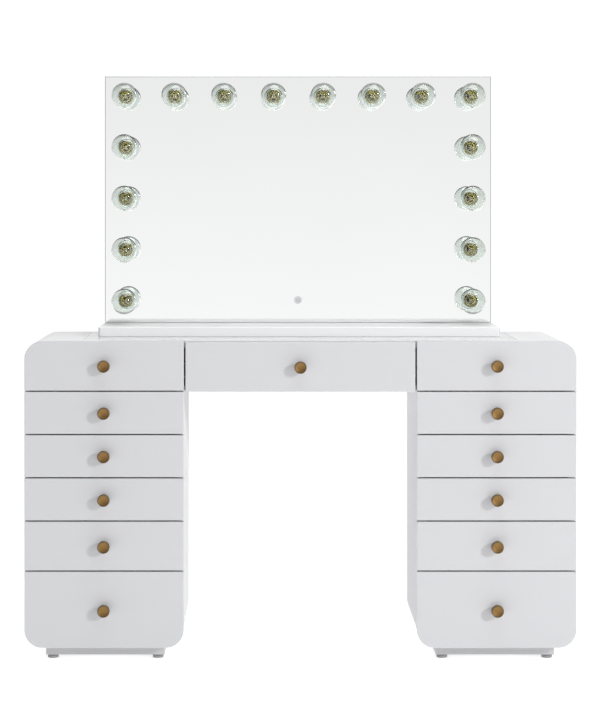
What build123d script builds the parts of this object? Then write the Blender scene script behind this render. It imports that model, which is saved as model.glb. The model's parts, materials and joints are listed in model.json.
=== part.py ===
from build123d import *

import os
from math import sqrt

# A lacquered vanity desk: two drawer pedestals under a top unit of three drawers, with a glass
# inlay in the desktop and a frameless mirror, ringed with globe lamps, on a low steel base.
# Millimetres, +Z up, the user sits on the -Y side. The origin is on the floor, under the middle
# of the bounding box.

# ---------------------------------------------------------------- driving dimensions
WIDTH = 1350.0
DEPTH = 430.0
UNDERSIDE = 34.0
ROW_HEIGHTS = (120.5, 102.8, 102.8, 102.8, 119.3, 186.3)
FRONT_GAP = 3.0
CORNER_RADIUS = 44.0
KNEE_WIDTH = 574.0

BOARD = 18.0
THIN_BOARD = 12.0
GLUE_LINE = 0.1

FRONT_THICKNESS = 18.0
FRONT_REVEAL = 2.0
FRONT_OVERHANG = 2.0
CENTRE_GAP = 4.0
CENTRE_DROP = 2.0
FRONT_EDGE_ROUND = 1.4

KNOB_PROJECTION = 26.0
KNOB_RADIUS = 15.0
KNOB_DISC = 11.0
KNOB_EDGE = 1.2
KNOB_DISH = 0.6
KNOB_STEM_RADIUS = 6.5
KNOB_FLARE = 2.0
KNOB_FOOT = 1.5
BOLT_RADIUS = 2.0
BOLT_HEAD_RADIUS = 4.2
BOLT_HEAD_HEIGHT = 2.4
BOLT_GRIP = 9.0
BOLT_END_SPACE = 1.0
BOLT_HEAD_CHAMFER = 1.0

BOX_WALL = 12.0
BOX_FLOOR = 5.0
BOX_FLOOR_LIFT = 8.0
BOX_DEPTH = 375.0
BOX_RISE = 15.0
BOX_DROP = 18.0
TOP_BOX_DROP = 38.0
LOWEST_BOX_RISE = 28.0

RUNNER_SPACE = 12.7
RUNNER_LENGTH = 350.0
RUNNER_SETBACK = 2.0
RUNNER_SHEET = 1.2
CABINET_RUNNER_HEIGHT = 35.0
CABINET_RUNNER_REACH = 9.0
DRAWER_RUNNER_HEIGHT = 20.0
DRAWER_RUNNER_REACH = 8.0

INLAY_WIDTH = 1076.0
INLAY_START = 72.0
INLAY_END = 385.0
INLAY_THICKNESS = 5.0
INLAY_CORNER = 5.0
INLAY_CLEARANCE = 0.5
INLAY_BEVEL = 0.6

PLINTH_INNER_INSET = 47.0
PLINTH_OUTER_INSET = 49.0
PLINTH_SETBACK = 45.0
PLINTH_RAIL = 33.0
GLIDE_HEIGHT = 9.0
GLIDE_RADIUS = 13.5
GLIDE_EDGE = 1.0
GLIDE_SHOULDER_RADIUS = 9.5
GLIDE_SHOULDER_HEIGHT = 6.0
GLIDE_STEM_RADIUS = 3.0
GLIDE_STEM_TOP = 25.0
GLIDE_HOLE_TOP = 26.0

BASE_WIDTH = 1016.0
BASE_FRONT = 190.0
BASE_BACK = 427.0
BASE_HEIGHT = 24.0
BASE_SHEET = 1.5
BASE_LIP = 15.0
BASE_CORNER = 6.0
PAD_HEIGHT = 0.5
PAD_RADIUS = 6.0
PADS_PER_ROW = 4
PAD_PITCH = 326.0

MIRROR_WIDTH = 1013.0
MIRROR_TOP = 1453.5
MIRROR_LIFT = 1.0
MIRROR_FACE = 410.0
MIRROR_THICKNESS = 4.0
MIRROR_BEVEL = 1.5
TRAY_INSET = 2.0
TRAY_DEPTH = 14.0
TRAY_SHEET = 1.2
POST_RADIUS = 5.0
POST_SPACING = 600.0
POST_LENGTH = 156.0
POST_CHAMFER = 0.8

LAMP_COLUMNS = 8
LAMP_ROWS = 5
LAMP_SPAN_X = 900.0
LAMP_SPAN_Z = 532.0
LAMP_TOP_MARGIN = 54.0
GLOBE_RADIUS = 33.0
GLOBE_CENTRE = 95.0
GLASS_WALL = 1.0
NECK_RADIUS = 14.0
NECK_START = 20.0
CAP_RADIUS = 13.0
CAP_START = -8.0
CONTACT_RADIUS = 5.0
CONTACT_HEIGHT = 1.5
INSULATOR_RADIUS = 7.0
INSULATOR_HEIGHT = 5.0
HOLDER_RADIUS = 17.0
HOLDER_HEIGHT = 10.0
HOLDER_FLOOR = -10.0
HOLDER_EDGE = 1.0
HOLDER_FLANGE_RADIUS = 20.0
HOLDER_FLANGE = 2.5
HOLDER_BARREL_RADIUS = 15.5
HOLDER_BARREL = 12.5
STEM_RADIUS = 3.5
STEM_TOP = 52.0
CARRIER_THICKNESS = 1.0
FILAMENT_LENGTH = 28.0
FILAMENT_RADIUS = 0.9
FILAMENT_CIRCLE = 7.0
FILAMENTS = 4

SWITCH_RADIUS = 10.0
SWITCH_RING = 1.6
SWITCH_PROUD = 0.6
SENSOR_SIZE = 24.0
SENSOR_THICKNESS = 6.0
DRIVER_LENGTH = 150.0
DRIVER_WIDTH = 60.0
DRIVER_HEIGHT = 18.0
DRIVER_X = -260.0
DRIVER_CORNER = 3.0
INLET_X = -420.0
INLET_WIDTH = 22.0
INLET_HEIGHT = 12.0
INLET_DEPTH = 16.0
INLET_FLANGE = 1.5
INLET_RIM = 3.5
INLET_SLOT_WIDTH = 16.0
INLET_SLOT_HEIGHT = 8.0
INLET_SLOT_DEPTH = 12.0

RUNNING_GAP = 0.4

# ---------------------------------------------------------------- derived positions
DESK_HEIGHT = UNDERSIDE + sum(ROW_HEIGHTS) + FRONT_GAP * (len(ROW_HEIGHTS) - 1)
FRONT_Y = KNOB_PROJECTION - (DEPTH + KNOB_PROJECTION) / 2
BACK_Y = FRONT_Y + DEPTH
FRONT_REAR_Y = FRONT_Y + FRONT_THICKNESS
CARCASS_Y = FRONT_REAR_Y + FRONT_REVEAL
BACK_PANEL_Y = BACK_Y - THIN_BOARD
HALF_WIDTH = WIDTH / 2
HALF_KNEE = KNEE_WIDTH / 2
SIDE_FRONT_INNER = HALF_KNEE - FRONT_OVERHANG
BAY_INNER = HALF_KNEE + BOARD
BAY_OUTER = HALF_WIDTH - BOARD
OUTER_ARC_X = HALF_WIDTH - CORNER_RADIUS
INNER_ARC_X = HALF_KNEE + CORNER_RADIUS
LOWER_ARC_Z = UNDERSIDE + CORNER_RADIUS
UPPER_ARC_Z = DESK_HEIGHT - CORNER_RADIUS
APRON_FLOOR_Z = DESK_HEIGHT - ROW_HEIGHTS[0] - FRONT_GAP / 3
TRAY_Z = DESK_HEIGHT + BASE_HEIGHT
MIRROR_BOTTOM = TRAY_Z + MIRROR_LIFT
MIRROR_Y = FRONT_Y + MIRROR_FACE
TRAY_Y = MIRROR_Y + MIRROR_THICKNESS
LAMP_TOP_Z = MIRROR_TOP - LAMP_TOP_MARGIN
PLINTH_INNER = HALF_KNEE + PLINTH_INNER_INSET
PLINTH_OUTER = HALF_WIDTH - PLINTH_OUTER_INSET
SIDES = {"left": -1, "right": 1}


# ---------------------------------------------------------------- shared helpers
def facing_front(y):
    """Plane at this y, seen from the user's side: local x is X and local y is Z."""
    return Plane.XZ.offset(-y)


def mirrored(span, side):
    """X span of the +X side, taken over to the side given as -1 or 1."""
    return tuple(sorted((span[0] * side, span[1] * side)))


def slab(x, y, z, mode=Mode.ADD):
    """Rectangular piece of the current part, from its (low, high) span along each axis."""
    with Locations(((x[0] + x[1]) / 2, (y[0] + y[1]) / 2, (z[0] + z[1]) / 2)):
        Box(x[1] - x[0], y[1] - y[0], z[1] - z[0], mode=mode)


def turned(points, mode=Mode.ADD):
    """Piece turned about Y, from (radius, distance in front of the seat) points."""
    with BuildSketch(Plane.XY) as profile:
        with BuildLine():
            Polyline([(radius, -distance) for radius, distance in points], close=True)
        make_face()
    revolve(profile.sketch, axis=Axis.Y, mode=mode)


def write(builder, node):
    """Label the finished sub-part and write its STEP file."""
    builder.part.label = node
    export_step(builder.part, f"parts/{node}.step")


def front_spans():
    """(low, high) heights of the six fronts of one side, from the top down."""
    spans = []
    top = DESK_HEIGHT
    for height in ROW_HEIGHTS:
        spans.append((top - height, top))
        top -= height + FRONT_GAP
    return spans


def box_span(row):
    """(low, high) heights of the drawer box behind the front of this row."""
    low, high = front_spans()[row]
    rise = LOWEST_BOX_RISE if row == len(ROW_HEIGHTS) - 1 else BOX_RISE
    drop = TOP_BOX_DROP if row == 0 else BOX_DROP
    return low + rise, high - drop


def lamp_places():
    """Lamp seats on the mirror's face: the top row, then both columns under its ends."""
    pitch_x = LAMP_SPAN_X / (LAMP_COLUMNS - 1)
    pitch_z = LAMP_SPAN_Z / (LAMP_ROWS - 1)
    places = [(column * pitch_x - LAMP_SPAN_X / 2, LAMP_TOP_Z) for column in range(LAMP_COLUMNS)]
    for row in range(1, LAMP_ROWS):
        for side in SIDES.values():
            places.append((side * LAMP_SPAN_X / 2, LAMP_TOP_Z - row * pitch_z))
    return [Location((x, MIRROR_Y, z)) for x, z in places]


# ---------------------------------------------------------------- carcass
def make_desktop():
    with BuildPart() as desktop:
        slab((-OUTER_ARC_X, OUTER_ARC_X), (CARCASS_Y, BACK_Y), (DESK_HEIGHT - BOARD, DESK_HEIGHT))
        with BuildSketch(Plane.XY.offset(DESK_HEIGHT)):
            with Locations((0, FRONT_Y + (INLAY_START + INLAY_END) / 2)):
                RectangleRounded(
                    INLAY_WIDTH + 2 * INLAY_CLEARANCE,
                    INLAY_END - INLAY_START + 2 * INLAY_CLEARANCE,
                    INLAY_CORNER + INLAY_CLEARANCE,
                )
        extrude(amount=-INLAY_THICKNESS, mode=Mode.SUBTRACT)
    write(desktop, "desktop")


def make_glass_inlay():
    with BuildPart() as inlay:
        with BuildSketch(Plane.XY.offset(DESK_HEIGHT - INLAY_THICKNESS)):
            with Locations((0, FRONT_Y + (INLAY_START + INLAY_END) / 2)):
                RectangleRounded(INLAY_WIDTH, INLAY_END - INLAY_START, INLAY_CORNER)
        extrude(amount=INLAY_THICKNESS)
        chamfer(inlay.faces().sort_by(Axis.Z)[-1].edges(), length=INLAY_BEVEL)
    write(inlay, "glass_inlay")


def bent_corner(arc_x, arc_z, toward_x, toward_z):
    """Quarter ring of board thickness that joins a side panel to a level board."""
    with BuildSketch(facing_front(BACK_Y)) as quarter:
        with Locations((arc_x, arc_z)):
            Circle(CORNER_RADIUS)
            Circle(CORNER_RADIUS - BOARD, mode=Mode.SUBTRACT)
        with Locations((arc_x + toward_x * CORNER_RADIUS / 2, arc_z + toward_z * CORNER_RADIUS / 2)):
            Rectangle(CORNER_RADIUS, CORNER_RADIUS, mode=Mode.INTERSECT)
    extrude(quarter.sketch, amount=BACK_Y - CARCASS_Y)


def make_curved_corners():
    with BuildPart() as corners:
        for side in SIDES.values():
            bent_corner(side * OUTER_ARC_X, UPPER_ARC_Z, side, 1)
            bent_corner(side * OUTER_ARC_X, LOWER_ARC_Z, side, -1)
            bent_corner(side * INNER_ARC_X, LOWER_ARC_Z, -side, -1)
    write(corners, "curved_corners")


def make_side_panels():
    with BuildPart() as panels:
        for side in SIDES.values():
            outer_z = (LOWER_ARC_Z, UPPER_ARC_Z)
            inner_z = (LOWER_ARC_Z, DESK_HEIGHT - BOARD)
            slab(mirrored((BAY_OUTER, HALF_WIDTH), side), (CARCASS_Y, BACK_Y), outer_z)
            slab(mirrored((HALF_KNEE, BAY_INNER), side), (CARCASS_Y, BACK_Y), inner_z)
    write(panels, "side_panels")


def make_floor_boards():
    apron_z = (APRON_FLOOR_Z, APRON_FLOOR_Z + THIN_BOARD)
    with BuildPart() as floors:
        slab((-HALF_KNEE, HALF_KNEE), (CARCASS_Y, BACK_Y), apron_z)
        for side in SIDES.values():
            slab(mirrored((BAY_INNER, BAY_OUTER), side), (CARCASS_Y, BACK_PANEL_Y), apron_z)
            slab(
                mirrored((INNER_ARC_X, OUTER_ARC_X), side),
                (CARCASS_Y, BACK_Y),
                (UNDERSIDE, UNDERSIDE + BOARD),
            )
    write(floors, "floor_boards")


def make_back_panels():
    inner_radius = CORNER_RADIUS - BOARD + GLUE_LINE
    low, high = UNDERSIDE + BOARD, DESK_HEIGHT - BOARD
    with BuildPart() as backs:
        slab((-HALF_KNEE, HALF_KNEE), (BACK_PANEL_Y, BACK_Y), (APRON_FLOOR_Z + THIN_BOARD, high))
        for side in SIDES.values():
            with BuildSketch(facing_front(BACK_Y)) as outline:
                with Locations((side * (BAY_INNER + BAY_OUTER) / 2, (low + high) / 2)):
                    Rectangle(BAY_OUTER - BAY_INNER, high - low)
                lower = outline.vertices().group_by(Axis.Y)[0]
                upper_outer = outline.vertices().group_by(Axis.Y)[-1].sort_by(Axis.X)[0 if side < 0 else -1]
                fillet([*lower, upper_outer], radius=inner_radius)
            extrude(amount=THIN_BOARD)
    write(backs, "back_panels")


# ---------------------------------------------------------------- feet
def make_plinths():
    y_span = (FRONT_Y + PLINTH_SETBACK, BACK_Y - PLINTH_SETBACK)
    z_span = (GLIDE_HEIGHT, UNDERSIDE)
    with BuildPart() as plinths:
        for side in SIDES.values():
            x_span = mirrored((PLINTH_INNER, PLINTH_OUTER), side)
            slab(x_span, (y_span[0], y_span[0] + PLINTH_RAIL), z_span)
            slab(x_span, (y_span[1] - PLINTH_RAIL, y_span[1]), z_span)
            between = (y_span[0] + PLINTH_RAIL + GLUE_LINE, y_span[1] - PLINTH_RAIL - GLUE_LINE)
            slab((x_span[0], x_span[0] + PLINTH_RAIL), between, z_span)
            slab((x_span[1] - PLINTH_RAIL, x_span[1]), between, z_span)
        with Locations(*glide_places(GLIDE_HEIGHT)):
            Cylinder(
                GLIDE_STEM_RADIUS + RUNNING_GAP,
                GLIDE_HOLE_TOP - GLIDE_HEIGHT,
                align=(Align.CENTER, Align.CENTER, Align.MIN),
                mode=Mode.SUBTRACT,
            )
    write(plinths, "plinths")


def glide_places(z):
    """Glide axes, one in each corner of both plinths, at this height."""
    inset = PLINTH_RAIL / 2
    front, rear = FRONT_Y + PLINTH_SETBACK + inset, BACK_Y - PLINTH_SETBACK - inset
    xs = (PLINTH_INNER + inset, PLINTH_OUTER - inset)
    return [Location((side * x, y, z)) for side in SIDES.values() for x in xs for y in (front, rear)]


def make_glides():
    with BuildPart() as glide:
        with BuildSketch(Plane.XZ):
            with BuildLine():
                Polyline(
                    (0, 0),
                    (GLIDE_RADIUS - GLIDE_EDGE, 0),
                    (GLIDE_RADIUS, GLIDE_EDGE),
                    (GLIDE_RADIUS, GLIDE_SHOULDER_HEIGHT),
                    (GLIDE_SHOULDER_RADIUS, GLIDE_HEIGHT),
                    (GLIDE_STEM_RADIUS, GLIDE_HEIGHT),
                    (GLIDE_STEM_RADIUS, GLIDE_STEM_TOP),
                    (0, GLIDE_STEM_TOP),
                    close=True,
                )
            make_face()
        revolve(axis=Axis.Z)
    with BuildPart() as glides:
        with Locations(*glide_places(0)):
            add(glide.part)
    write(glides, "glides")


# ---------------------------------------------------------------- drawer runners
def runner_profile(wall_x, inward, reach, height, z):
    """C section of a slide member, its web on wall_x and its flanges pointing inward."""
    with Locations((wall_x + inward * reach / 2, z)):
        Rectangle(reach, height)
    with Locations((wall_x + inward * (reach + RUNNER_SHEET) / 2, z)):
        Rectangle(reach - RUNNER_SHEET, height - 2 * RUNNER_SHEET, mode=Mode.SUBTRACT)


def cabinet_runner(wall_x, inward, z):
    start = CARCASS_Y + RUNNER_SETBACK
    with BuildSketch(facing_front(start + RUNNER_LENGTH)) as section:
        runner_profile(wall_x, inward, CABINET_RUNNER_REACH, CABINET_RUNNER_HEIGHT, z)
    extrude(section.sketch, amount=RUNNER_LENGTH)


def make_cabinet_runners():
    with BuildPart() as runners:
        for side in SIDES.values():
            cabinet_runner(side * HALF_KNEE, -side, sum(box_span(0)) / 2)
            for row in range(len(ROW_HEIGHTS)):
                middle = sum(box_span(row)) / 2
                cabinet_runner(side * BAY_INNER, side, middle)
                cabinet_runner(side * BAY_OUTER, -side, middle)
    write(runners, "cabinet_runners")


# ---------------------------------------------------------------- drawers
def make_front(node, x, z, round_lower, round_upper_side, knob):
    """Full overlay front; its outer corners follow the desk's outline."""
    with BuildPart() as front:
        with BuildSketch(facing_front(FRONT_REAR_Y)) as outline:
            with Locations(((x[0] + x[1]) / 2, (z[0] + z[1]) / 2)):
                Rectangle(x[1] - x[0], z[1] - z[0])
            if round_lower:
                fillet(outline.vertices().group_by(Axis.Y)[0], radius=CORNER_RADIUS)
            if round_upper_side:
                upper = outline.vertices().group_by(Axis.Y)[-1].sort_by(Axis.X)
                fillet(upper[0] if round_upper_side < 0 else upper[-1], radius=CORNER_RADIUS)
        extrude(amount=FRONT_THICKNESS)
        fillet(front.faces().sort_by(Axis.Y)[0].edges(), radius=FRONT_EDGE_ROUND)
        with BuildSketch(facing_front(FRONT_REAR_Y)):
            with Locations(knob):
                Circle(BOLT_RADIUS + RUNNING_GAP)
        extrude(amount=FRONT_THICKNESS, mode=Mode.SUBTRACT)
    write(front, f"{node}_front")


def make_box(node, bay, z, knob):
    """Open drawer box of four walls and a floor, with its two slide members."""
    low_x, high_x = bay[0] + RUNNER_SPACE, bay[1] - RUNNER_SPACE
    front_y, rear_y = FRONT_REAR_Y, FRONT_REAR_Y + BOX_DEPTH
    inner_x = (low_x + BOX_WALL + GLUE_LINE, high_x - BOX_WALL - GLUE_LINE)
    inner_y = (front_y + BOX_WALL + GLUE_LINE, rear_y - BOX_WALL - GLUE_LINE)
    floor_z = z[0] + BOX_FLOOR_LIFT
    with BuildPart() as box:
        slab((low_x, low_x + BOX_WALL), (front_y, rear_y), z)
        slab((high_x - BOX_WALL, high_x), (front_y, rear_y), z)
        slab(inner_x, (front_y, front_y + BOX_WALL), z)
        slab(inner_x, (rear_y - BOX_WALL, rear_y), z)
        slab(inner_x, inner_y, (floor_z, floor_z + BOX_FLOOR))
        with BuildSketch(facing_front(front_y + BOX_WALL)):
            with Locations(knob):
                Circle(BOLT_RADIUS + RUNNING_GAP)
        extrude(amount=BOX_WALL, mode=Mode.SUBTRACT)
        with BuildSketch(facing_front(FRONT_REAR_Y + RUNNER_SETBACK + RUNNER_LENGTH)):
            runner_profile(low_x - GLUE_LINE, -1, DRAWER_RUNNER_REACH, DRAWER_RUNNER_HEIGHT, sum(z) / 2)
        extrude(amount=RUNNER_LENGTH)
        with BuildSketch(facing_front(FRONT_REAR_Y + RUNNER_SETBACK + RUNNER_LENGTH)):
            runner_profile(high_x + GLUE_LINE, 1, DRAWER_RUNNER_REACH, DRAWER_RUNNER_HEIGHT, sum(z) / 2)
        extrude(amount=RUNNER_LENGTH)
    write(box, f"{node}_box")


def make_knob(node, knob):
    """Turned knob with a shallow dish in its face, and the bolt that holds it from inside."""
    disc_back = KNOB_PROJECTION - KNOB_DISC
    foot_radius = KNOB_STEM_RADIUS + KNOB_FLARE
    rim = KNOB_RADIUS - 2 * KNOB_EDGE
    with BuildPart() as turning:
        turned(
            [
                (0, 0),
                (foot_radius, 0),
                (foot_radius, KNOB_FOOT),
                (KNOB_STEM_RADIUS, 2 * KNOB_FOOT),
                (KNOB_STEM_RADIUS, disc_back - KNOB_FLARE),
                (foot_radius, disc_back),
                (KNOB_RADIUS - KNOB_EDGE, disc_back),
                (KNOB_RADIUS, disc_back + KNOB_EDGE),
                (KNOB_RADIUS, KNOB_PROJECTION - KNOB_EDGE),
                (KNOB_RADIUS - KNOB_EDGE, KNOB_PROJECTION),
                (rim, KNOB_PROJECTION),
                (rim - KNOB_EDGE, KNOB_PROJECTION - KNOB_DISH),
                (0, KNOB_PROJECTION - KNOB_DISH),
            ]
        )
        thread = BOLT_RADIUS + GLUE_LINE
        hole_end = BOLT_GRIP + BOLT_END_SPACE
        turned([(0, 0), (thread, 0), (thread, hole_end), (0, hole_end)], mode=Mode.SUBTRACT)
    head = -(FRONT_THICKNESS + BOX_WALL)
    with BuildPart() as bolt:
        turned(
            [
                (0, head - BOLT_HEAD_HEIGHT),
                (BOLT_HEAD_RADIUS - BOLT_HEAD_CHAMFER, head - BOLT_HEAD_HEIGHT),
                (BOLT_HEAD_RADIUS, head - BOLT_HEAD_HEIGHT + BOLT_HEAD_CHAMFER),
                (BOLT_HEAD_RADIUS, head),
                (BOLT_RADIUS, head),
                (BOLT_RADIUS, BOLT_GRIP),
                (0, BOLT_GRIP),
            ]
        )
    with BuildPart() as pair:
        with Locations((knob[0], FRONT_Y, knob[1])):
            add(turning.part)
            add(bolt.part)
    write(pair, f"{node}_knob")


def make_drawer(node, bay, front_x, front_z, box_z, round_lower=False, round_upper_side=0):
    knob = ((front_x[0] + front_x[1]) / 2, (front_z[0] + front_z[1]) / 2)
    make_front(node, front_x, front_z, round_lower, round_upper_side, knob)
    make_box(node, bay, box_z, knob)
    make_knob(node, knob)


def make_drawers():
    spans = front_spans()
    top_low, top_high = spans[0]
    centre_half = SIDE_FRONT_INNER - CENTRE_GAP
    make_drawer(
        "drawer_centre",
        (-HALF_KNEE, HALF_KNEE),
        (-centre_half, centre_half),
        (top_low - FRONT_GAP, top_high - CENTRE_DROP),
        box_span(0),
    )
    for name, side in SIDES.items():
        for row, span in enumerate(spans):
            make_drawer(
                f"drawer_{name}_{row + 1}",
                mirrored((BAY_INNER, BAY_OUTER), side),
                mirrored((SIDE_FRONT_INNER, HALF_WIDTH), side),
                span,
                box_span(row),
                round_lower=row == len(spans) - 1,
                round_upper_side=side if row == 0 else 0,
            )


# ---------------------------------------------------------------- mirror and its base
def make_mirror_base():
    half, low, high = BASE_WIDTH / 2, DESK_HEIGHT + PAD_HEIGHT, DESK_HEIGHT + BASE_HEIGHT
    front, rear = FRONT_Y + BASE_FRONT, FRONT_Y + BASE_BACK
    with BuildPart() as base:
        slab((-half, half), (front, rear), (low, high))
        fillet(base.edges().filter_by(Axis.Z), radius=BASE_CORNER)
        fillet(base.faces().sort_by(Axis.Z)[-1].edges(), radius=BASE_SHEET)
        inside = BASE_SHEET
        slab(
            (-half + inside, half - inside),
            (front + inside, rear - inside),
            (low + inside, high - inside),
            mode=Mode.SUBTRACT,
        )
        lip = BASE_SHEET + BASE_LIP
        slab((-half + lip, half - lip), (front + lip, rear - lip), (low, low + inside), mode=Mode.SUBTRACT)
        with Locations(*post_places(high)):
            Cylinder(POST_RADIUS + RUNNING_GAP, 4 * BASE_SHEET, mode=Mode.SUBTRACT)
        slab(
            (INLET_X - INLET_WIDTH / 2 - RUNNING_GAP, INLET_X + INLET_WIDTH / 2 + RUNNING_GAP),
            (rear - 2 * inside, rear + inside),
            inlet_z(RUNNING_GAP),
            mode=Mode.SUBTRACT,
        )
    write(base, "mirror_base")


def inlet_z(clearance):
    """(low, high) heights of the power inlet's body, widened by a clearance."""
    middle = DESK_HEIGHT + BASE_HEIGHT / 2
    return middle - INLET_HEIGHT / 2 - clearance, middle + INLET_HEIGHT / 2 + clearance


def post_places(z):
    """Axes of the posts that tie the mirror's tray to its base."""
    y = TRAY_Y + (TRAY_DEPTH - TRAY_SHEET) / 2
    return [Location((side * POST_SPACING / 2, y, z)) for side in SIDES.values()]


def make_base_pads():
    xs = [PAD_PITCH * (pad - (PADS_PER_ROW - 1) / 2) for pad in range(PADS_PER_ROW)]
    inset = BASE_SHEET + BASE_LIP / 2
    ys = (FRONT_Y + BASE_FRONT + inset, FRONT_Y + BASE_BACK - inset)
    with BuildPart() as pads:
        with Locations(*[Location((x, y, DESK_HEIGHT)) for x in xs for y in ys]):
            Cylinder(PAD_RADIUS, PAD_HEIGHT, align=(Align.CENTER, Align.CENTER, Align.MIN))
    write(pads, "mirror_base_pads")


def make_mirror_posts():
    with BuildPart() as posts:
        with Locations(*post_places(DESK_HEIGHT + 3 * BASE_SHEET)):
            Cylinder(POST_RADIUS, POST_LENGTH, align=(Align.CENTER, Align.CENTER, Align.MIN))
        chamfer(posts.edges().filter_by(GeomType.CIRCLE), length=POST_CHAMFER)
    write(posts, "mirror_posts")


def make_mirror_tray():
    half = MIRROR_WIDTH / 2 - TRAY_INSET
    low, high = TRAY_Z, MIRROR_TOP - TRAY_INSET
    with BuildPart() as tray:
        slab((-half, half), (TRAY_Y, TRAY_Y + TRAY_DEPTH), (low, high))
        fillet(tray.faces().sort_by(Axis.Y)[-1].edges(), radius=TRAY_SHEET)
        slab(
            (-half + TRAY_SHEET, half - TRAY_SHEET),
            (TRAY_Y, TRAY_Y + TRAY_DEPTH - TRAY_SHEET),
            (low + TRAY_SHEET, high - TRAY_SHEET),
            mode=Mode.SUBTRACT,
        )
        with Locations(*post_places(low)):
            Cylinder(POST_RADIUS + RUNNING_GAP, 4 * TRAY_SHEET, mode=Mode.SUBTRACT)
    write(tray, "mirror_tray")


def make_mirror_glass():
    half = MIRROR_WIDTH / 2
    with BuildPart() as glass:
        slab((-half, half), (MIRROR_Y, TRAY_Y), (MIRROR_BOTTOM, MIRROR_TOP))
        chamfer(glass.faces().sort_by(Axis.Y)[0].edges(), length=MIRROR_BEVEL)
        with Locations(*lamp_places()):
            Cylinder(
                HOLDER_BARREL_RADIUS + RUNNING_GAP,
                4 * MIRROR_THICKNESS,
                rotation=(90, 0, 0),
                mode=Mode.SUBTRACT,
            )
    write(glass, "mirror_glass")


def make_touch_switch():
    z = LAMP_TOP_Z - LAMP_SPAN_Z
    with BuildPart() as switch:
        with BuildSketch(facing_front(MIRROR_Y)):
            with Locations((0, z)):
                Circle(SWITCH_RADIUS)
        extrude(amount=SWITCH_PROUD)
        with BuildSketch(facing_front(MIRROR_Y - SWITCH_PROUD)):
            with Locations((0, z)):
                Circle(SWITCH_RADIUS - SWITCH_RING)
        extrude(amount=-SWITCH_PROUD / 2, mode=Mode.SUBTRACT)
        slab(
            (-SENSOR_SIZE / 2, SENSOR_SIZE / 2),
            (TRAY_Y, TRAY_Y + SENSOR_THICKNESS),
            (z - SENSOR_SIZE / 2, z + SENSOR_SIZE / 2),
        )
    write(switch, "touch_switch")


# ---------------------------------------------------------------- lamps
def at_every_lamp(one, node):
    """Repeat one lamp piece, made at the origin facing -Y, at every lamp seat."""
    with BuildPart() as group:
        with Locations(*lamp_places()):
            add(one.part)
    write(group, node)


def make_lamp_holders():
    bore = CAP_RADIUS + RUNNING_GAP
    with BuildPart() as holder:
        turned(
            [
                (0, -HOLDER_BARREL),
                (HOLDER_BARREL_RADIUS, -HOLDER_BARREL),
                (HOLDER_BARREL_RADIUS, 0),
                (HOLDER_FLANGE_RADIUS, 0),
                (HOLDER_FLANGE_RADIUS, HOLDER_FLANGE - HOLDER_EDGE),
                (HOLDER_FLANGE_RADIUS - HOLDER_EDGE, HOLDER_FLANGE),
                (HOLDER_RADIUS, HOLDER_FLANGE),
                (HOLDER_RADIUS, HOLDER_HEIGHT - HOLDER_EDGE),
                (HOLDER_RADIUS - HOLDER_EDGE, HOLDER_HEIGHT),
                (bore, HOLDER_HEIGHT),
                (bore, HOLDER_FLOOR),
                (0, HOLDER_FLOOR),
            ]
        )
    at_every_lamp(holder, "lamp_holders")


def make_bulb_caps():
    with BuildPart() as cap:
        turned(
            [
                (0, CAP_START),
                (CONTACT_RADIUS, CAP_START),
                (INSULATOR_RADIUS, CAP_START + CONTACT_HEIGHT),
                (CAP_RADIUS, CAP_START + INSULATOR_HEIGHT),
                (CAP_RADIUS, NECK_START),
                (0, NECK_START),
            ]
        )
    at_every_lamp(cap, "bulb_caps")


def globe_half(radius, neck_radius):
    """Sketch of half a globe with its neck, closed along the axis."""
    shoulder = GLOBE_CENTRE - sqrt(radius**2 - neck_radius**2)
    tip = (0, -GLOBE_CENTRE - radius)
    with BuildSketch(Plane.XY) as half:
        with BuildLine():
            ThreePointArc(tip, (radius, -GLOBE_CENTRE), (neck_radius, -shoulder))
            Polyline((neck_radius, -shoulder), (neck_radius, -NECK_START), (0, -NECK_START), tip)
        make_face()
    return half.sketch


def make_bulb_globes():
    with BuildPart() as globe:
        revolve(globe_half(GLOBE_RADIUS, NECK_RADIUS), axis=Axis.Y)
        hollow = globe_half(GLOBE_RADIUS - GLASS_WALL, NECK_RADIUS - GLASS_WALL)
        revolve(hollow, axis=Axis.Y, mode=Mode.SUBTRACT)
    at_every_lamp(globe, "bulb_globes")


def make_bulb_filaments():
    rod_middle = STEM_TOP + FILAMENT_LENGTH / 2
    carrier_radius = FILAMENT_CIRCLE + 2 * FILAMENT_RADIUS
    with BuildPart() as mount:
        turned(
            [
                (0, NECK_START),
                (2 * STEM_RADIUS, NECK_START),
                (STEM_RADIUS, NECK_START + 2 * STEM_RADIUS),
                (STEM_RADIUS, STEM_TOP),
                (0, STEM_TOP),
            ]
        )
        for low in (STEM_TOP, STEM_TOP + FILAMENT_LENGTH - CARRIER_THICKNESS):
            high = low + CARRIER_THICKNESS
            turned([(0, low), (carrier_radius, low), (carrier_radius, high), (0, high)])
        with Locations(Location((0, -rod_middle, 0), (90, 0, 0))):
            with PolarLocations(FILAMENT_CIRCLE, FILAMENTS):
                Cylinder(FILAMENT_RADIUS, FILAMENT_LENGTH)
    at_every_lamp(mount, "bulb_filaments")


# ---------------------------------------------------------------- electrics in the base
def make_led_driver():
    middle_y = FRONT_Y + (BASE_FRONT + BASE_BACK) / 2
    top = DESK_HEIGHT + BASE_HEIGHT - BASE_SHEET
    with BuildPart() as driver:
        slab(
            (DRIVER_X - DRIVER_LENGTH / 2, DRIVER_X + DRIVER_LENGTH / 2),
            (middle_y - DRIVER_WIDTH / 2, middle_y + DRIVER_WIDTH / 2),
            (top - DRIVER_HEIGHT, top),
        )
        fillet(driver.edges().filter_by(Axis.Z), radius=DRIVER_CORNER)
    write(driver, "led_driver")


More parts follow.
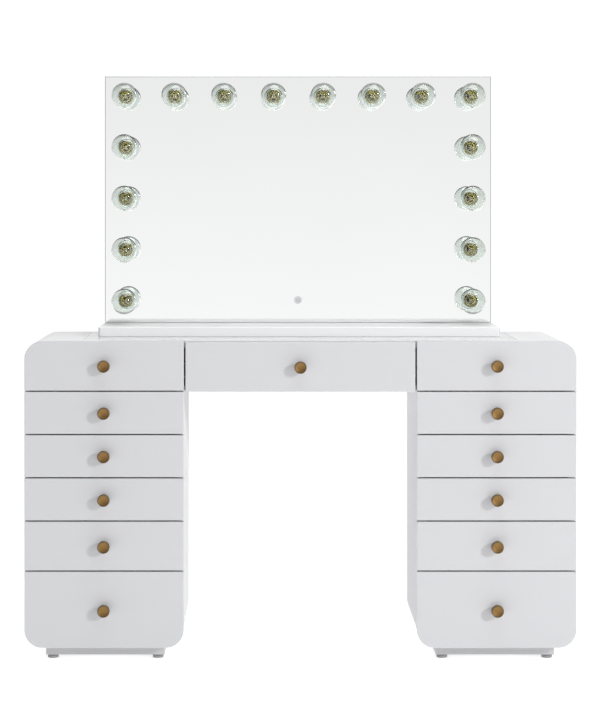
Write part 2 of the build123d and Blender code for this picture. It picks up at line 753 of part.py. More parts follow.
def make_power_inlet():
    rear = FRONT_Y + BASE_BACK
    body_x = (INLET_X - INLET_WIDTH / 2, INLET_X + INLET_WIDTH / 2)
    low, high = inlet_z(0)
    with BuildPart() as inlet:
        slab(body_x, (rear - INLET_DEPTH, rear), (low, high))
        slab(
            (body_x[0] - INLET_RIM, body_x[1] + INLET_RIM),
            (rear, rear + INLET_FLANGE),
            (low - INLET_RIM, high + INLET_RIM),
        )
        with BuildSketch(facing_front(rear + INLET_FLANGE)):
            with Locations((INLET_X, (low + high) / 2)):
                SlotOverall(INLET_SLOT_WIDTH, INLET_SLOT_HEIGHT)
        extrude(amount=INLET_SLOT_DEPTH, mode=Mode.SUBTRACT)
    write(inlet, "power_inlet")


def main():
    os.makedirs("parts", exist_ok=True)
    make_desktop()
    make_glass_inlay()
    make_curved_corners()
    make_side_panels()
    make_floor_boards()
    make_back_panels()
    make_plinths()
    make_glides()
    make_cabinet_runners()
    make_drawers()
    make_mirror_base()
    make_base_pads()
    make_mirror_posts()
    make_mirror_tray()
    make_mirror_glass()
    make_touch_switch()
    make_lamp_holders()
    make_bulb_caps()
    make_bulb_globes()
    make_bulb_filaments()
    make_led_driver()
    make_power_inlet()


main()
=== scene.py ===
"""Looks of the white vanity desk with its lamp-ringed mirror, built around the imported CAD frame.

Metres, +Z up, the user sits on the -Y side. Every place and size comes from the frame.
"""

import json
from math import atan2, cos, pi, radians, sin, sqrt

import bmesh
import bpy
from mathutils import Matrix, Vector


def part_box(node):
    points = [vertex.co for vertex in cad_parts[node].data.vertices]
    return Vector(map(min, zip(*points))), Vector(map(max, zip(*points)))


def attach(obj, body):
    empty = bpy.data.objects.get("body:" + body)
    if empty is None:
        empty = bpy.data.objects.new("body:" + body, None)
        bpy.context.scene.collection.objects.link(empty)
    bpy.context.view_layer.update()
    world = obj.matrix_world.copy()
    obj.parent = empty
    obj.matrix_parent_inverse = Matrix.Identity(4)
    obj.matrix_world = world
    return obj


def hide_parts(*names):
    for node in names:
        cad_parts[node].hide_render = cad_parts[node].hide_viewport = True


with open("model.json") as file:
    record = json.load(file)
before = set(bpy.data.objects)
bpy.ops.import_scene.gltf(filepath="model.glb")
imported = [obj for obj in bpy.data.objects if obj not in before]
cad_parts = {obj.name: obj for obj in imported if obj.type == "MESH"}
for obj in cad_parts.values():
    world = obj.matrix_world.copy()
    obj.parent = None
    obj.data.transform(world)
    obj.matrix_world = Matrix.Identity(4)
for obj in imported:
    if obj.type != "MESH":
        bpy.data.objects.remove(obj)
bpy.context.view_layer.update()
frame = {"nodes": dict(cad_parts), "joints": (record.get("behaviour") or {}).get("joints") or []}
nodes = frame["nodes"]
drawers = [joint["child"] for joint in frame["joints"]]

MM = 0.001
ON_AXIS = 1e-7


# ---------------------------------------------------------------- mesh helpers
def new_piece(name, mesh_builder, body, materials, smooth_angle=35):
    """Finished piece from a bmesh: its normals set, its materials assigned, riding on its body."""
    bmesh.ops.recalc_face_normals(mesh_builder, faces=mesh_builder.faces)
    mesh = bpy.data.meshes.new(name)
    mesh_builder.to_mesh(mesh)
    mesh_builder.free()
    piece = bpy.data.objects.new(name, mesh)
    bpy.context.scene.collection.objects.link(piece)
    for material in materials:
        mesh.materials.append(material)
    mesh.shade_smooth()
    mesh.set_sharp_from_angle(angle=radians(smooth_angle))
    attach(piece, body)
    return piece


def lathe(mesh_builder, profile, segments=64, material=0, place=Matrix.Identity(4)):
    """Closed turned solid about local Z, from (radius, height) points that start and end on the axis."""
    rings = []
    for radius, height in profile:
        if radius < ON_AXIS:
            rings.append([mesh_builder.verts.new(place @ Vector((0, 0, height)))])
            continue
        ring = []
        for step in range(segments):
            angle = 2 * pi * step / segments
            corner = Vector((radius * cos(angle), radius * sin(angle), height))
            ring.append(mesh_builder.verts.new(place @ corner))
        rings.append(ring)
    for low, high in zip(rings, rings[1:]):
        for step in range(segments):
            after = (step + 1) % segments
            corners = [low[step % len(low)], low[after % len(low)]]
            corners += [high[after % len(high)], high[step % len(high)]]
            unique = list(dict.fromkeys(corners))
            if len(unique) > 2:
                mesh_builder.faces.new(unique).material_index = material


def arc(centre_radius, centre_height, radius, start, end, steps):
    """(radius, height) points along an arc of a lathe profile, with angles in degrees."""
    points = []
    for step in range(steps + 1):
        angle = radians(start + (end - start) * step / steps)
        points.append((centre_radius + radius * cos(angle), centre_height + radius * sin(angle)))
    return points


def facing_user(x, y, z):
    """Place whose local +Z points at the user (-Y), at this point."""
    return Matrix.Translation((x, y, z)) @ Matrix.Rotation(radians(90), 4, "X")


# ---------------------------------------------------------------- material helpers
class Shader:
    """Node tree of one material, with short calls for the nodes that the looks below share."""

    def __init__(self, name, **values):
        self.material = bpy.data.materials.new(name)
        self.material.use_nodes = True
        self.tree = self.material.node_tree
        self.surface = self.tree.nodes["Principled BSDF"]
        for socket, value in values.items():
            self.surface.inputs[socket.replace("_", " ")].default_value = value
        self.place = self.node("ShaderNodeTexCoord").outputs["Object"]

    def node(self, kind, **settings):
        made = self.tree.nodes.new(kind)
        for key, value in settings.items():
            setattr(made, key, value)
        return made

    def link(self, source, target):
        self.tree.links.new(source, target)

    def stretched(self, x, y, z):
        """Object coordinates scaled along each axis."""
        mapping = self.node("ShaderNodeMapping")
        mapping.inputs["Scale"].default_value = (x, y, z)
        self.link(self.place, mapping.inputs["Vector"])
        return mapping.outputs["Vector"]

    def noise(self, scale, detail=3.0, roughness=0.55, vector=None):
        texture = self.node("ShaderNodeTexNoise")
        texture.inputs["Scale"].default_value = scale
        texture.inputs["Detail"].default_value = detail
        texture.inputs["Roughness"].default_value = roughness
        self.link(vector or self.place, texture.inputs["Vector"])
        return texture.outputs["Fac"]

    def ramp(self, factor, low, high, start=0.35, end=0.65):
        """Grey value or colour that goes from low to high as factor goes from start to end."""
        ramp = self.node("ShaderNodeValToRGB")
        for element, position, value in zip(ramp.color_ramp.elements, (start, end), (low, high)):
            element.position = position
            element.color = (*value, 1) if isinstance(value, tuple) else (value, value, value, 1)
        self.link(factor, ramp.inputs["Fac"])
        return ramp.outputs["Color"]

    def colour(self, source):
        self.link(source, self.surface.inputs["Base Color"])

    def roughness(self, factor, low, high, start=0.35, end=0.65):
        self.link(self.ramp(factor, low, high, start, end), self.surface.inputs["Roughness"])

    def bump(self, height, distance, strength=1.0):
        bump = self.node("ShaderNodeBump")
        bump.inputs["Distance"].default_value = distance
        bump.inputs["Strength"].default_value = strength
        self.link(height, bump.inputs["Height"])
        self.link(bump.outputs["Normal"], self.surface.inputs["Normal"])


def tinted(colour, factor):
    return tuple(channel * factor for channel in colour)


def lacquer(name, colour, roughness=0.3, gloss=0.5):
    """Sprayed satin lacquer: faint orange peel, cloudy gloss and a slightly uneven white."""
    shader = Shader(name)
    shader.surface.inputs["Specular IOR Level"].default_value = gloss
    shader.colour(shader.ramp(shader.noise(5, 1), tinted(colour, 0.99), colour, 0.2, 0.8))
    shader.roughness(shader.noise(18, 2), roughness - 0.03, roughness + 0.03, 0.1, 0.9)
    shader.bump(shader.noise(650, 2, 0.4), 0.00004, 0.5)
    return shader.material


def turned_brass(name, dark, bright):
    """Aged brass with the fine rings that turning leaves around the knob's own axis."""
    shader = Shader(name, Metallic=1.0)
    split = shader.node("ShaderNodeSeparateXYZ")
    shader.link(shader.place, split.inputs["Vector"])
    flat = shader.node("ShaderNodeCombineXYZ")
    shader.link(split.outputs["X"], flat.inputs["X"])
    shader.link(split.outputs["Y"], flat.inputs["Y"])
    length = shader.node("ShaderNodeVectorMath", operation="LENGTH")
    shader.link(flat.outputs["Vector"], length.inputs[0])
    rings = shader.node("ShaderNodeTexNoise", noise_dimensions="1D")
    rings.inputs["Scale"].default_value = 2600
    rings.inputs["Detail"].default_value = 2
    shader.link(length.outputs["Value"], rings.inputs["W"])
    patina = shader.noise(140, 4)
    shader.colour(shader.ramp(patina, dark, bright, 0.3, 0.7))
    shader.roughness(rings.outputs["Fac"], 0.42, 0.56)
    shader.bump(rings.outputs["Fac"], 0.00006, 0.6)
    return shader.material


def metal(name, colour, roughness, grain=400, depth=0.00003):
    """Plain metal with a fine grain and patchy gloss."""
    shader = Shader(name, Metallic=1.0)
    shader.colour(shader.ramp(shader.noise(60, 4), tinted(colour, 0.88), colour))
    shader.roughness(shader.noise(90, 3), roughness - 0.06, roughness + 0.08)
    shader.bump(shader.noise(grain, 3), depth, 0.6)
    return shader.material


def zinc_plate():
    """Rolled and zinc-plated steel, with its grain along the slide."""
    shader = Shader("zinc_plate", Metallic=1.0)
    along = shader.stretched(1, 0.04, 1)
    shader.colour(shader.ramp(shader.noise(240, 3, vector=along), (0.46, 0.47, 0.49), (0.62, 0.63, 0.65)))
    shader.roughness(shader.noise(70, 3), 0.26, 0.40)
    shader.bump(shader.noise(900, 2, vector=along), 0.00003, 0.6)
    return shader.material


def moulded(name, colour, roughness=0.45, grain=900):
    """Moulded plastic or rubber with a fine spark-eroded grain."""
    shader = Shader(name)
    shader.colour(shader.ramp(shader.noise(30, 2), tinted(colour, 0.93), colour))
    shader.roughness(shader.noise(50, 3), roughness - 0.05, roughness + 0.07)
    shader.bump(shader.noise(grain, 2), 0.00004, 0.5)
    return shader.material


def box_foil():
    """Pale foil on the drawer boxes, printed with a faint straight grain along the boards."""
    shader = Shader("box_foil")
    grain = shader.noise(120, 5, 0.6, vector=shader.stretched(0.05, 0.05, 1))
    shader.colour(shader.ramp(grain, (0.62, 0.60, 0.56), (0.70, 0.685, 0.65), 0.3, 0.7))
    shader.roughness(shader.noise(40, 3), 0.42, 0.55)
    shader.bump(grain, 0.00005, 0.4)
    return shader.material


def silvering():
    """Front of the mirror: silver behind clear glass, with a breath of uneven polish."""
    shader = Shader("silvering", Metallic=1.0)
    shader.colour(shader.ramp(shader.noise(3, 2), (0.955, 0.965, 0.96), (0.965, 0.975, 0.97)))
    shader.roughness(shader.noise(25, 3), 0.0, 0.004)
    return shader.material


def polished_edge(name, colour):
    """Ground and polished edge of float glass, grey-green, where light is lost inside the pane."""
    shader = Shader(name)
    shader.surface.inputs["Specular IOR Level"].default_value = 0.6
    shader.colour(shader.ramp(shader.noise(60, 3), tinted(colour, 0.86), colour))
    shader.roughness(shader.noise(200, 3), 0.08, 0.2)
    shader.bump(shader.noise(700, 2), 0.00003, 0.5)
    return shader.material


def inlay_face():
    """Back-coated glass panel in the desktop."""
    shader = Shader("inlay_face")
    shader.surface.inputs["Coat Weight"].default_value = 0.5
    shader.surface.inputs["Coat Roughness"].default_value = 0.02
    shader.surface.inputs["Coat IOR"].default_value = 1.5
    shader.colour(shader.ramp(shader.noise(4, 1), (0.64, 0.66, 0.675), (0.65, 0.67, 0.685), 0.2, 0.8))
    shader.roughness(shader.noise(30, 3), 0.12, 0.2)
    return shader.material


def clear_glass(name, colour, roughness=0.0, clarity=1.0):
    """Blown glass with a faint tint and the slow waves of a blown wall."""
    shader = Shader(name, IOR=1.48, Roughness=roughness)
    shader.surface.inputs["Transmission Weight"].default_value = clarity
    shader.colour(shader.ramp(shader.noise(30, 2), tinted(colour, 0.985), colour))
    shader.bump(shader.noise(30, 1), 0.0003, 0.25)
    return shader.material


def phosphor():
    """Yellow coating of the filament rods, speckled."""
    shader = Shader("phosphor", Roughness=0.5)
    shader.colour(shader.ramp(shader.noise(900, 3), (0.72, 0.62, 0.06), (0.92, 0.86, 0.22)))
    shader.bump(shader.noise(1500, 2), 0.0001, 0.7)
    return shader.material


# One white lacquer in lit and shaded copies: the greys of the fronts, the carcass and the side panels with
# floor boards are set apart for how light falls on each, so their differences are painted light and shade,
# the fronts being the darkest copy.
fronts_lacquer_shaded_copy = lacquer("fronts_lacquer_shaded_copy", (0.59, 0.593, 0.612), 0.34)
carcass_lacquer_lit_copy = lacquer("carcass_lacquer_lit_copy", (0.80, 0.803, 0.815), 0.36, 0.4)
panels_lacquer_shaded_copy = lacquer("panels_lacquer_shaded_copy", (0.73, 0.73, 0.74), 0.6, 0.0)
# The plinths' grey is partly their own colour and partly painted shade of the recess under the pedestals.
plinth_grey_and_painted_shade = lacquer("plinth_grey_and_painted_shade", (0.53, 0.53, 0.54), 0.5, 0.2)
white_powder = lacquer("white_powder", (0.92, 0.925, 0.935), 0.35)
brass = turned_brass("turned_brass", (0.215, 0.125, 0.043), (0.285, 0.165, 0.062))
# Darker brass for the knob's rim: painted shade of its rounded edge.
rim_brass_painted_shade = turned_brass("rim_brass_painted_shade", (0.14, 0.10, 0.052), (0.20, 0.145, 0.08))
bright_brass = metal("bright_brass", (0.74, 0.66, 0.22), 0.3)
holder_brass = metal("holder_brass", (0.40, 0.34, 0.15), 0.3)
bolt_steel = metal("bolt_steel", (0.55, 0.56, 0.58), 0.3)
zinc = zinc_plate()
foil = box_foil()
silver = silvering()
mirror_edge = polished_edge("mirror_edge", (0.16, 0.18, 0.172))
inlay_top = inlay_face()
inlay_edge = polished_edge("inlay_edge", (0.5, 0.6, 0.57))
bulb_glass = clear_glass("bulb_glass", (0.87, 0.905, 0.885))
stem_glass = clear_glass("stem_glass", (0.92, 0.80, 0.78), 0.35, 0.4)
filament_coat = phosphor()
# Near-black plastic of the power inlet and the sensor, also used as painted shade in the screw drives.
dark_plastic_and_recess_shade = moulded("dark_plastic_and_recess_shade", (0.018, 0.018, 0.016), 0.4)
near_black_neck_core = moulded("near_black_neck_core", (0.045, 0.042, 0.012), 0.2)
grey_plastic = moulded("grey_plastic", (0.30, 0.30, 0.31), 0.5)
pale_plastic = moulded("pale_plastic", (0.62, 0.63, 0.64), 0.3)
white_plastic = moulded("white_plastic", (0.78, 0.78, 0.77), 0.35)
rubber = moulded("rubber", (0.035, 0.035, 0.035), 0.7)


# ---------------------------------------------------------------- CAD nodes that show as they are
def paint(node, *materials):
    """Put these materials in the node's slots, the first of them on every face."""
    mesh = nodes[node].data
    mesh.materials.clear()
    for material in materials:
        mesh.materials.append(material)
    for polygon in mesh.polygons:
        polygon.material_index = 0


def soften(node, width, segments=2):
    """Small rounded edges on a board or folded sheet."""
    bevel = nodes[node].modifiers.new("soft_edges", "BEVEL")
    bevel.width = width
    bevel.segments = segments
    bevel.limit_method = "ANGLE"
    bevel.angle_limit = radians(50)
    bevel.harden_normals = False


def paint_cad():
    # The same white lacquer throughout, in lit and shaded copies: painted light and shade.
    for node in ("desktop", "curved_corners", "back_panels"):
        paint(node, carcass_lacquer_lit_copy)
    for node in ("side_panels", "floor_boards"):
        paint(node, panels_lacquer_shaded_copy)
    paint("plinths", plinth_grey_and_painted_shade)
    paint("glides", grey_plastic)
    paint("cabinet_runners", zinc)
    paint("mirror_base", white_powder)
    paint("mirror_tray", white_powder)
    paint("mirror_base_pads", rubber)
    paint("mirror_posts", zinc)
    paint("led_driver", white_plastic)
    paint("power_inlet", dark_plastic_and_recess_shade)
    # The fronts take the darkest, shaded copy of the white lacquer: painted shade.
    for drawer in drawers:
        paint(f"{drawer}_front", fronts_lacquer_shaded_copy)


def paint_boxes():
    """Foil on the boards of each drawer box, zinc on the slide members at its two sides."""
    member_reach = 8.05 * MM
    for drawer in drawers:
        node = f"{drawer}_box"
        paint(node, foil, zinc)
        low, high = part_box(node)
        for polygon in nodes[node].data.polygons:
            x = polygon.center.x
            if x < low.x + member_reach or x > high.x - member_reach:
                polygon.material_index = 1


def paint_mirror():
    """Silver on the pane's front and on its lowest bevel, polished glass on its other edges."""
    paint("mirror_glass", silver, mirror_edge)
    face_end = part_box("mirror_glass")[0].y + 0.2 * MM
    for polygon in nodes["mirror_glass"].data.polygons:
        on_face = polygon.normal.y < -0.99 and polygon.center.y < face_end
        low_bevel = polygon.normal.z < -0.5 and polygon.normal.y < -0.5
        if not on_face and not low_bevel:
            polygon.material_index = 1


def paint_inlay():
    paint("glass_inlay", inlay_top, inlay_edge)
    for polygon in nodes["glass_inlay"].data.polygons:
        if polygon.normal.z < 0.99:
            polygon.material_index = 1


paint_cad()
paint_boxes()
paint_mirror()
paint_inlay()


# ---------------------------------------------------------------- knobs
def cross_recess(mesh_builder, size, depth, material, place):
    """Drive of a screw head, shown as two crossed bars that are half sunk in the head's face; the bars' dark
    colour is painted shade of the recess.
    """
    for turn in (0, 90):
        spin = place @ Matrix.Rotation(radians(turn), 4, "Z") @ Matrix.Diagonal((size, size * 0.28, depth, 1))
        made = bmesh.ops.create_cube(mesh_builder, size=1, matrix=spin)
        for face in {face for vertex in made["verts"] for face in vertex.link_faces}:
            face.material_index = material


def knob_mesh(projection, radius, bolt_end):
    """Turned knob, its foot and its bolt. Local +Z points at the user, 0 is the front's face."""
    disc, edge, dish, stem, foot = 11 * MM, 1.3 * MM, 0.5 * MM, 6.5 * MM, 8.5 * MM
    back = projection - disc
    builder = bmesh.new()
    profile = [(0, 0), (foot, 0), (foot, 1.2 * MM)]
    profile += arc(stem + 2 * MM, 3.2 * MM, 2 * MM, 270, 180, 6)
    profile += arc(stem + 2 * MM, back - 2 * MM, 2 * MM, 180, 90, 6)
    profile += arc(radius - edge, back + edge, edge, -90, 0, 6)
    profile += arc(radius - edge, projection - edge, edge, 0, 90, 6)
    profile += [(radius - 2.1 * edge, projection), (radius - 2.7 * edge, projection - dish)]
    profile.append((0, projection - dish))
    lathe(builder, profile, 96, 0)
    # Faces near the rim take the darker rim brass, painted shade of the rounded edge.
    for face in builder.faces:
        if face.calc_center_median().xy.length > radius - 2.8 * edge:
            face.material_index = 3
    shank, head, height, tip = 2 * MM, 4.2 * MM, 2.4 * MM, -0.1 * MM
    bolt = [(0, bolt_end), (head * 0.6, bolt_end), (head * 0.93, bolt_end + 0.7 * MM)]
    bolt += [(head, bolt_end + height), (shank, bolt_end + height), (shank, tip), (0, tip)]
    lathe(builder, bolt, 32, 1)
    cross_recess(builder, head, 0.2 * MM, 2, Matrix.Translation((0, 0, bolt_end)))
    return builder


def make_knobs():
    for drawer in drawers:
        low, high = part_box(f"{drawer}_knob")
        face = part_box(f"{drawer}_front")[0].y
        centre = (low + high) / 2
        radius = (high.x - low.x) / 2
        builder = knob_mesh(face - low.y, radius, face - high.y)
        finishes = [brass, bolt_steel, dark_plastic_and_recess_shade, rim_brass_painted_shade]
        knob = new_piece(f"{drawer}_turned_knob", builder, drawer, finishes)
        knob.matrix_world = facing_user(centre.x, face, centre.z)
        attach(knob, drawer)
        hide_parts(f"{drawer}_knob")


make_knobs()


# ---------------------------------------------------------------- lamps
def lamp_seats():
    """Seat of each lamp on the mirror's face, read from the solids of the lamp holders."""
    builder = bmesh.new()
    builder.from_mesh(nodes["lamp_holders"].data)
    bmesh.ops.remove_doubles(builder, verts=builder.verts, dist=1e-6)
    seats, seen = [], set()
    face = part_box("mirror_glass")[0].y
    for vertex in builder.verts:
        if vertex in seen:
            continue
        island, queue = [], [vertex]
        seen.add(vertex)
        while queue:
            current = queue.pop()
            island.append(current.co)
            for edge in current.link_edges:
                other = edge.other_vert(current)
                if other not in seen:
                    seen.add(other)
                    queue.append(other)
        xs, zs = [co.x for co in island], [co.z for co in island]
        seats.append(Vector(((min(xs) + max(xs)) / 2, face, (min(zs) + max(zs)) / 2)))
    builder.free()
    return seats


def holder_profile():
    """Spun collar on a flange, with its barrel through the pane."""
    barrel, collar, bore, flange = 15.4 * MM, 17 * MM, 13.4 * MM, 20 * MM
    back, floor, flange_top, top = -12.4 * MM, -10 * MM, 2.4 * MM, 10 * MM
    rim, lip = 1 * MM, 0.8 * MM
    profile = [(0, back), (barrel, back), (barrel, 0), (flange, 0)]
    profile += arc(flange - rim, flange_top - rim, rim, 0, 90, 5)
    profile += [(collar + 0.6 * MM, flange_top + 0.1 * MM), (collar, flange_top + lip)]
    profile += arc(collar - lip, top - lip, lip, 0, 90, 4)
    profile += arc(bore + lip, top - lip, lip, 90, 180, 4)
    profile += [(bore, floor), (0, floor)]
    return profile


def cap_profile():
    """Screw shell with rolled threads, up to the rim that holds the neck of the globe."""
    contact, insulator, shell, rim, rim_inner = 5 * MM, 7 * MM, 12.4 * MM, 12.9 * MM, 12 * MM
    tip, start, rim_start, end = -8 * MM, -3 * MM, 13 * MM, 20 * MM
    floor = end - 1.2 * MM
    turns, pitch, thread, steps = 4, 3.6 * MM, 0.6 * MM, 8
    profile = [(0, tip), (contact, tip), (insulator, tip + 1.5 * MM), (shell, start)]
    for step in range(turns * steps):
        profile.append((shell + thread * sin(2 * pi * step / steps), start + pitch * step / steps))
    profile += [(rim, rim_start), (rim, end), (rim_inner, end), (rim_inner - 0.4 * MM, floor), (0, floor)]
    return profile


def core_profile():
    """Near-black bead that closes the neck and carries the stem, the dark centre of each lamp."""
    bead, shoulder = 10 * MM, 5 * MM
    low, middle, high = 19 * MM, 20.6 * MM, 25 * MM
    return [(0, low), (bead, low), (bead, middle), (shoulder, high), (0, high)]


def stem_profile():
    """Pressed glass stem with a rounded tip."""
    foot, start, tip, centre = 4.6 * MM, 25.2 * MM, 3.6 * MM, 60 * MM
    profile = [(0, start), (foot, start), (3.2 * MM, 31 * MM), (3.0 * MM, 58 * MM)]
    profile += arc(0, centre, tip, -35, 90, 8)
    profile[-1] = (0, centre + tip)
    return profile


def globe_profile():
    """Blown globe and neck as one closed wall of glass, with a fillet where the neck opens out."""
    centre, neck_end = 95 * MM, 20.2 * MM
    outer, inner = (33 * MM, 14 * MM), (31.8 * MM, 12.8 * MM)
    fillet_reach, fillet_x = 41 * MM, 22 * MM
    fillet_height = centre - sqrt(fillet_reach**2 - fillet_x**2)
    turn = 180 - atan2(centre - fillet_height, fillet_x) * 180 / pi
    walls = []
    for globe, neck in (outer, inner):
        wall = arc(0, centre, globe, 90, turn - 180, 28)
        wall += arc(fillet_x, fillet_height, fillet_x - neck, turn, 180, 8)[1:]
        wall.append((neck, neck_end))
        wall[0] = (0, centre + globe)
        walls.append(wall)
    return walls[0] + walls[1][::-1]


def make_lamps():
    """Sixteen lamps: brass collar, threaded cap with a dark core, clear globe, filaments on a stem."""
    holders, caps, globes, stems = (bmesh.new() for _ in range(4))
    foot, tip = Vector((9.5 * MM, 0, 48 * MM)), Vector((4 * MM, 0, 78 * MM))
    lead, stem_tip = Vector((2.6 * MM, 0, 44 * MM)), Vector((0, 0, 62.5 * MM))
    rod, wire, rods = 1.4 * MM, 0.25 * MM, 4
    for seat in lamp_seats():
        place = facing_user(*seat)
        lathe(holders, holder_profile(), 64, 0, place)
        lathe(caps, cap_profile(), 64, 0, place)
        lathe(caps, core_profile(), 40, 1, place)
        lathe(globes, globe_profile(), 56, 0, place)
        lathe(stems, stem_profile(), 32, 0, place)
        for turn in range(rods):
            around = place @ Matrix.Rotation(radians(360 * (turn + 0.5) / rods), 4, "Z")
            tube(stems, around @ foot, around @ tip, rod, 1)
            tube(stems, around @ lead, around @ foot, wire, 2)
            tube(stems, around @ tip, around @ stem_tip, wire, 2)
    holder = new_piece("lamp_collars", holders, "desk", [holder_brass])
    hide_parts("lamp_holders")
    cap = new_piece("lamp_screw_caps", caps, "desk", [bright_brass, near_black_neck_core])
    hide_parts("bulb_caps")
    globe = new_piece("lamp_globes", globes, "desk", [bulb_glass], 60)
    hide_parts("bulb_globes")
    finishes = [stem_glass, filament_coat, bolt_steel]
    stem = new_piece("lamp_filaments", stems, "desk", finishes)
    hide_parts("bulb_filaments")


def tube(mesh_builder, start, end, radius, material, segments=12):
    """Round rod between two points, with domed ends."""
    along = end - start
    turn = along.to_track_quat("Z", "Y").to_matrix().to_4x4()
    place = Matrix.Translation(start) @ turn
    length = along.length
    dome = radius * 0.6
    profile = [(0, -dome), (radius * 0.7, -dome * 0.6), (radius, 0), (radius, length)]
    profile += [(radius * 0.7, length + dome * 0.6), (0, length + dome)]
    lathe(mesh_builder, profile, segments, material, place)


make_lamps()


# ---------------------------------------------------------------- touch switch
def make_switch():
    """Pale ring on the mirror's face with a plain on-off sign, and the sensor behind the pane."""
    low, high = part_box("touch_switch")
    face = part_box("mirror_glass")[0].y
    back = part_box("mirror_glass")[1].y
    centre_x, centre_z = (low.x + high.x) / 2, (low.z + high.z) / 2
    place = facing_user(centre_x, face, centre_z)
    builder = bmesh.new()
    outer, inner, proud, edge = 10 * MM, 8.3 * MM, 0.6 * MM, 0.3 * MM
    ring = [(0, 0), (outer, 0), (outer, proud * 0.6), (outer - edge, proud)]
    ring += [(inner + edge, proud), (inner, proud * 0.5), (0, proud * 0.5)]
    lathe(builder, ring, 64, 0, place)
    sign, stroke, level, steps = 3.4 * MM, 0.45 * MM, proud * 0.6, 20
    points = []
    for step in range(steps + 1):
        angle = radians(120 + 300 * step / steps)
        points.append(place @ Vector((sign * cos(angle), sign * sin(angle), level)))
    for start, end in zip(points, points[1:]):
        tube(builder, start, end, stroke, 1)
    bar_start, bar_end = Vector((0, 0.8 * MM, level)), Vector((0, 4.2 * MM, level))
    tube(builder, place @ bar_start, place @ bar_end, stroke, 1)
    sensor = Matrix.Diagonal((high.x - low.x, high.y - back, high.x - low.x, 1))
    middle = Matrix.Translation((centre_x, (back + high.y) / 2, centre_z))
    made = bmesh.ops.create_cube(builder, size=1, matrix=middle @ sensor)
    for sensor_face in {f for vertex in made["verts"] for f in vertex.link_faces}:
        sensor_face.material_index = 2
    finishes = [pale_plastic, grey_plastic, dark_plastic_and_recess_shade]
    switch = new_piece("touch_switch_ring", builder, "desk", finishes)
    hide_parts("touch_switch")


make_switch()


# ---------------------------------------------------------------- screws at the back
def screw_row(mesh_builder, start, end, count, back):
    """Low screw heads on a back face, evenly spaced from one (x, z) to the other."""
    head, height, shank, sunk = 3.6 * MM, 0.7 * MM, 1.5 * MM, -1 * MM
    profile = [(0, sunk), (shank, sunk), (shank, 0), (head, 0)]
    profile += [(head, height * 0.4), (head * 0.8, height * 0.85), (head * 0.4, height), (0, height)]
    for step in range(count):
        share = step / (count - 1)
        x, z = start[0] + share * (end[0] - start[0]), start[1] + share * (end[1] - start[1])
        place = Matrix.Translation((x, back, z)) @ Matrix.Rotation(radians(-90), 4, "X")
        lathe(mesh_builder, profile, 28, 0, place)
        cross_recess(mesh_builder, head, 0.2 * MM, 1, place @ Matrix.Translation((0, 0, height)))


def make_back_screws():
    """Screws that hold the back panels, and those that close the mirror's tray."""
    builder = bmesh.new()
    low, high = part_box("back_panels")
    margin, end_margin, box_space = 12 * MM, 60 * MM, 4 * MM
    inner = -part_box("drawer_left_1_box")[1].x - box_space
    for side in (-1, 1):
        for x in (side * inner, side * (high.x - margin)):
            screw_row(builder, (x, low.z + end_margin), (x, high.z - end_margin), 5, high.y)
    low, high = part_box("mirror_tray")
    for z in (low.z + margin, high.z - margin):
        screw_row(builder, (low.x + margin, z), (high.x - margin, z), 6, high.y)
    new_piece("back_screws", builder, "desk", [bolt_steel, dark_plastic_and_recess_shade])


make_back_screws()

EDGE_WIDTHS = {"desktop": 0.8, "side_panels": 0.8, "floor_boards": 0.8, "back_panels": 0.5, "plinths": 1.0}
for board, width in EDGE_WIDTHS.items():
    soften(board, width * MM)


# ---------------------------------------------------------------- studio
def make_floor():
    """Plain pale floor that glows a little, so that it stays near white under the desk."""
    material = bpy.data.materials.new("studio_floor")
    material.use_nodes = True
    surface = material.node_tree.nodes["Principled BSDF"]
    surface.inputs["Base Color"].default_value = (0.8, 0.8, 0.8, 1)
    surface.inputs["Roughness"].default_value = 0.8
    surface.inputs["Emission Color"].default_value = (1, 1, 1, 1)
    surface.inputs["Emission Strength"].default_value = 0.57
    size = 14
    mesh = bpy.data.meshes.new("studio_floor")
    corners = [(-size, -size, 0), (size, -size, 0), (size, size, 0), (-size, size, 0)]
    mesh.from_pydata(corners, [], [(0, 1, 2, 3)])
    mesh.materials.append(material)
    floor = bpy.data.objects.new("studio_floor", mesh)
    floor.location.z = -0.5 * MM
    bpy.context.scene.collection.objects.link(floor)


# (height of the direction, grey) stops from straight down to straight up
USER_SIDE_GREYS = [(-1, 0.5), (-0.14, 0.55), (-0.07, 0.985), (0.07, 0.845)]
USER_SIDE_GREYS += [(0.15, 0.12), (0.6, 0.12), (0.95, 0.6)]
FAR_SIDE_GREYS = [(-1, 0.6), (-0.02, 0.62), (0.02, 0.8), (0.12, 0.8), (0.2, 0.62), (0.95, 0.9)]
SEEN_WHITE = 1.06


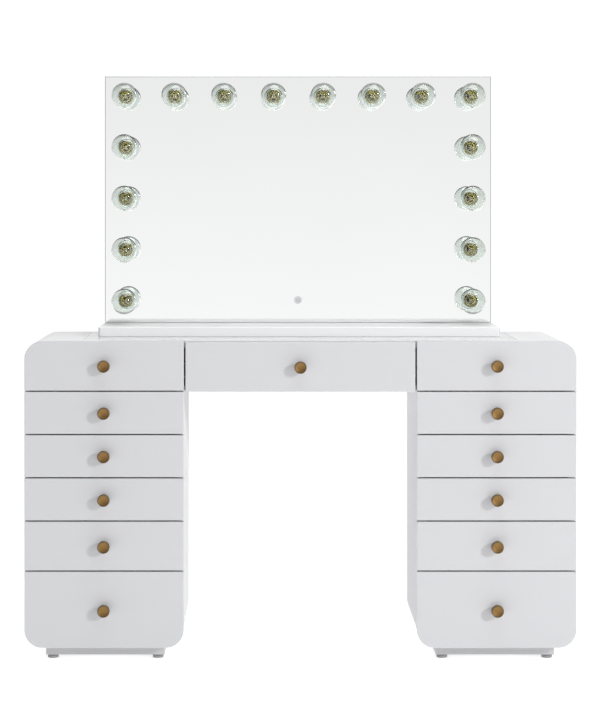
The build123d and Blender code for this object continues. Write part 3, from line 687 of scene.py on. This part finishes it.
def make_world():
    """Studio walls: white to look at, softer as light, and graded on the side that the mirror shows."""
    world = bpy.data.worlds.new("studio")
    world.use_nodes = True
    bpy.context.scene.world = world
    tree = world.node_tree
    background = tree.nodes["Background"]
    direction = tree.nodes.new("ShaderNodeTexCoord").outputs["Generated"]
    split = tree.nodes.new("ShaderNodeSeparateXYZ")
    tree.links.new(direction, split.inputs["Vector"])

    def graded(source, low, high, stops):
        fit = tree.nodes.new("ShaderNodeMapRange")
        fit.inputs["From Min"].default_value = low
        fit.inputs["From Max"].default_value = high
        tree.links.new(source, fit.inputs["Value"])
        ramp = tree.nodes.new("ShaderNodeValToRGB")
        elements = ramp.color_ramp.elements
        while len(elements) < len(stops):
            elements.new(0.5)
        for element, (position, value) in zip(elements, stops):
            element.position = (position - low) / (high - low)
            element.color = (value, value, value, 1)
        tree.links.new(fit.outputs["Result"], ramp.inputs["Fac"])
        return ramp.outputs["Color"]

    user_side = graded(split.outputs["Z"], -1, 1, USER_SIDE_GREYS)
    far_side = graded(split.outputs["Z"], -1, 1, FAR_SIDE_GREYS)
    side = graded(split.outputs["Y"], -1, 1, [(-0.1, 0), (0.25, 1)])
    mix = tree.nodes.new("ShaderNodeMix")
    mix.data_type = "RGBA"
    tree.links.new(side, mix.inputs[0])
    tree.links.new(user_side, mix.inputs[6])
    tree.links.new(far_side, mix.inputs[7])
    seen = tree.nodes.new("ShaderNodeMix")
    seen.data_type = "RGBA"
    seen.inputs[7].default_value = (SEEN_WHITE, SEEN_WHITE, SEEN_WHITE, 1)
    tree.links.new(tree.nodes.new("ShaderNodeLightPath").outputs["Is Camera Ray"], seen.inputs[0])
    tree.links.new(mix.outputs[2], seen.inputs[6])
    tree.links.new(seen.outputs[2], background.inputs["Color"])


def make_light(name, location, target, size, power):
    light = bpy.data.lights.new(name, "AREA")
    light.size = size
    light.energy = power
    lamp = bpy.data.objects.new(name, light)
    lamp.location = location
    lamp.rotation_euler = (Vector(target) - Vector(location)).to_track_quat("-Z", "Y").to_euler()
    bpy.context.scene.collection.objects.link(lamp)


def make_camera():
    """Level camera left of the middle, at standing eye height, shifted down onto the desk."""
    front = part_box("drawer_left_1_front")[0].y
    camera = bpy.data.cameras.new("camera")
    camera.sensor_width = 36
    camera.lens = 114.55
    camera.shift_x = 0.0486
    camera.shift_y = -0.2167
    camera.clip_end = 100
    viewer = bpy.data.objects.new("camera", camera)
    viewer.location = (-0.0865, front - 5.6, 1.1193)
    viewer.rotation_euler = (radians(90), 0, 0)
    bpy.context.scene.collection.objects.link(viewer)
    bpy.context.scene.camera = viewer


make_floor()
make_world()
make_light("key", (6.0, -6.2, 3.3), (0, 0, 0.6), 1.1, 330)
make_light("side_fill", (2.3, -2.7, 1.0), (0.2, 0, 0.5), 2.4, 4)
make_light("top", (0.4, -0.4, 3.6), (0, 0.1, 0.8), 2.4, 56)
make_camera()
bpy.context.scene.view_settings.view_transform = "Standard"
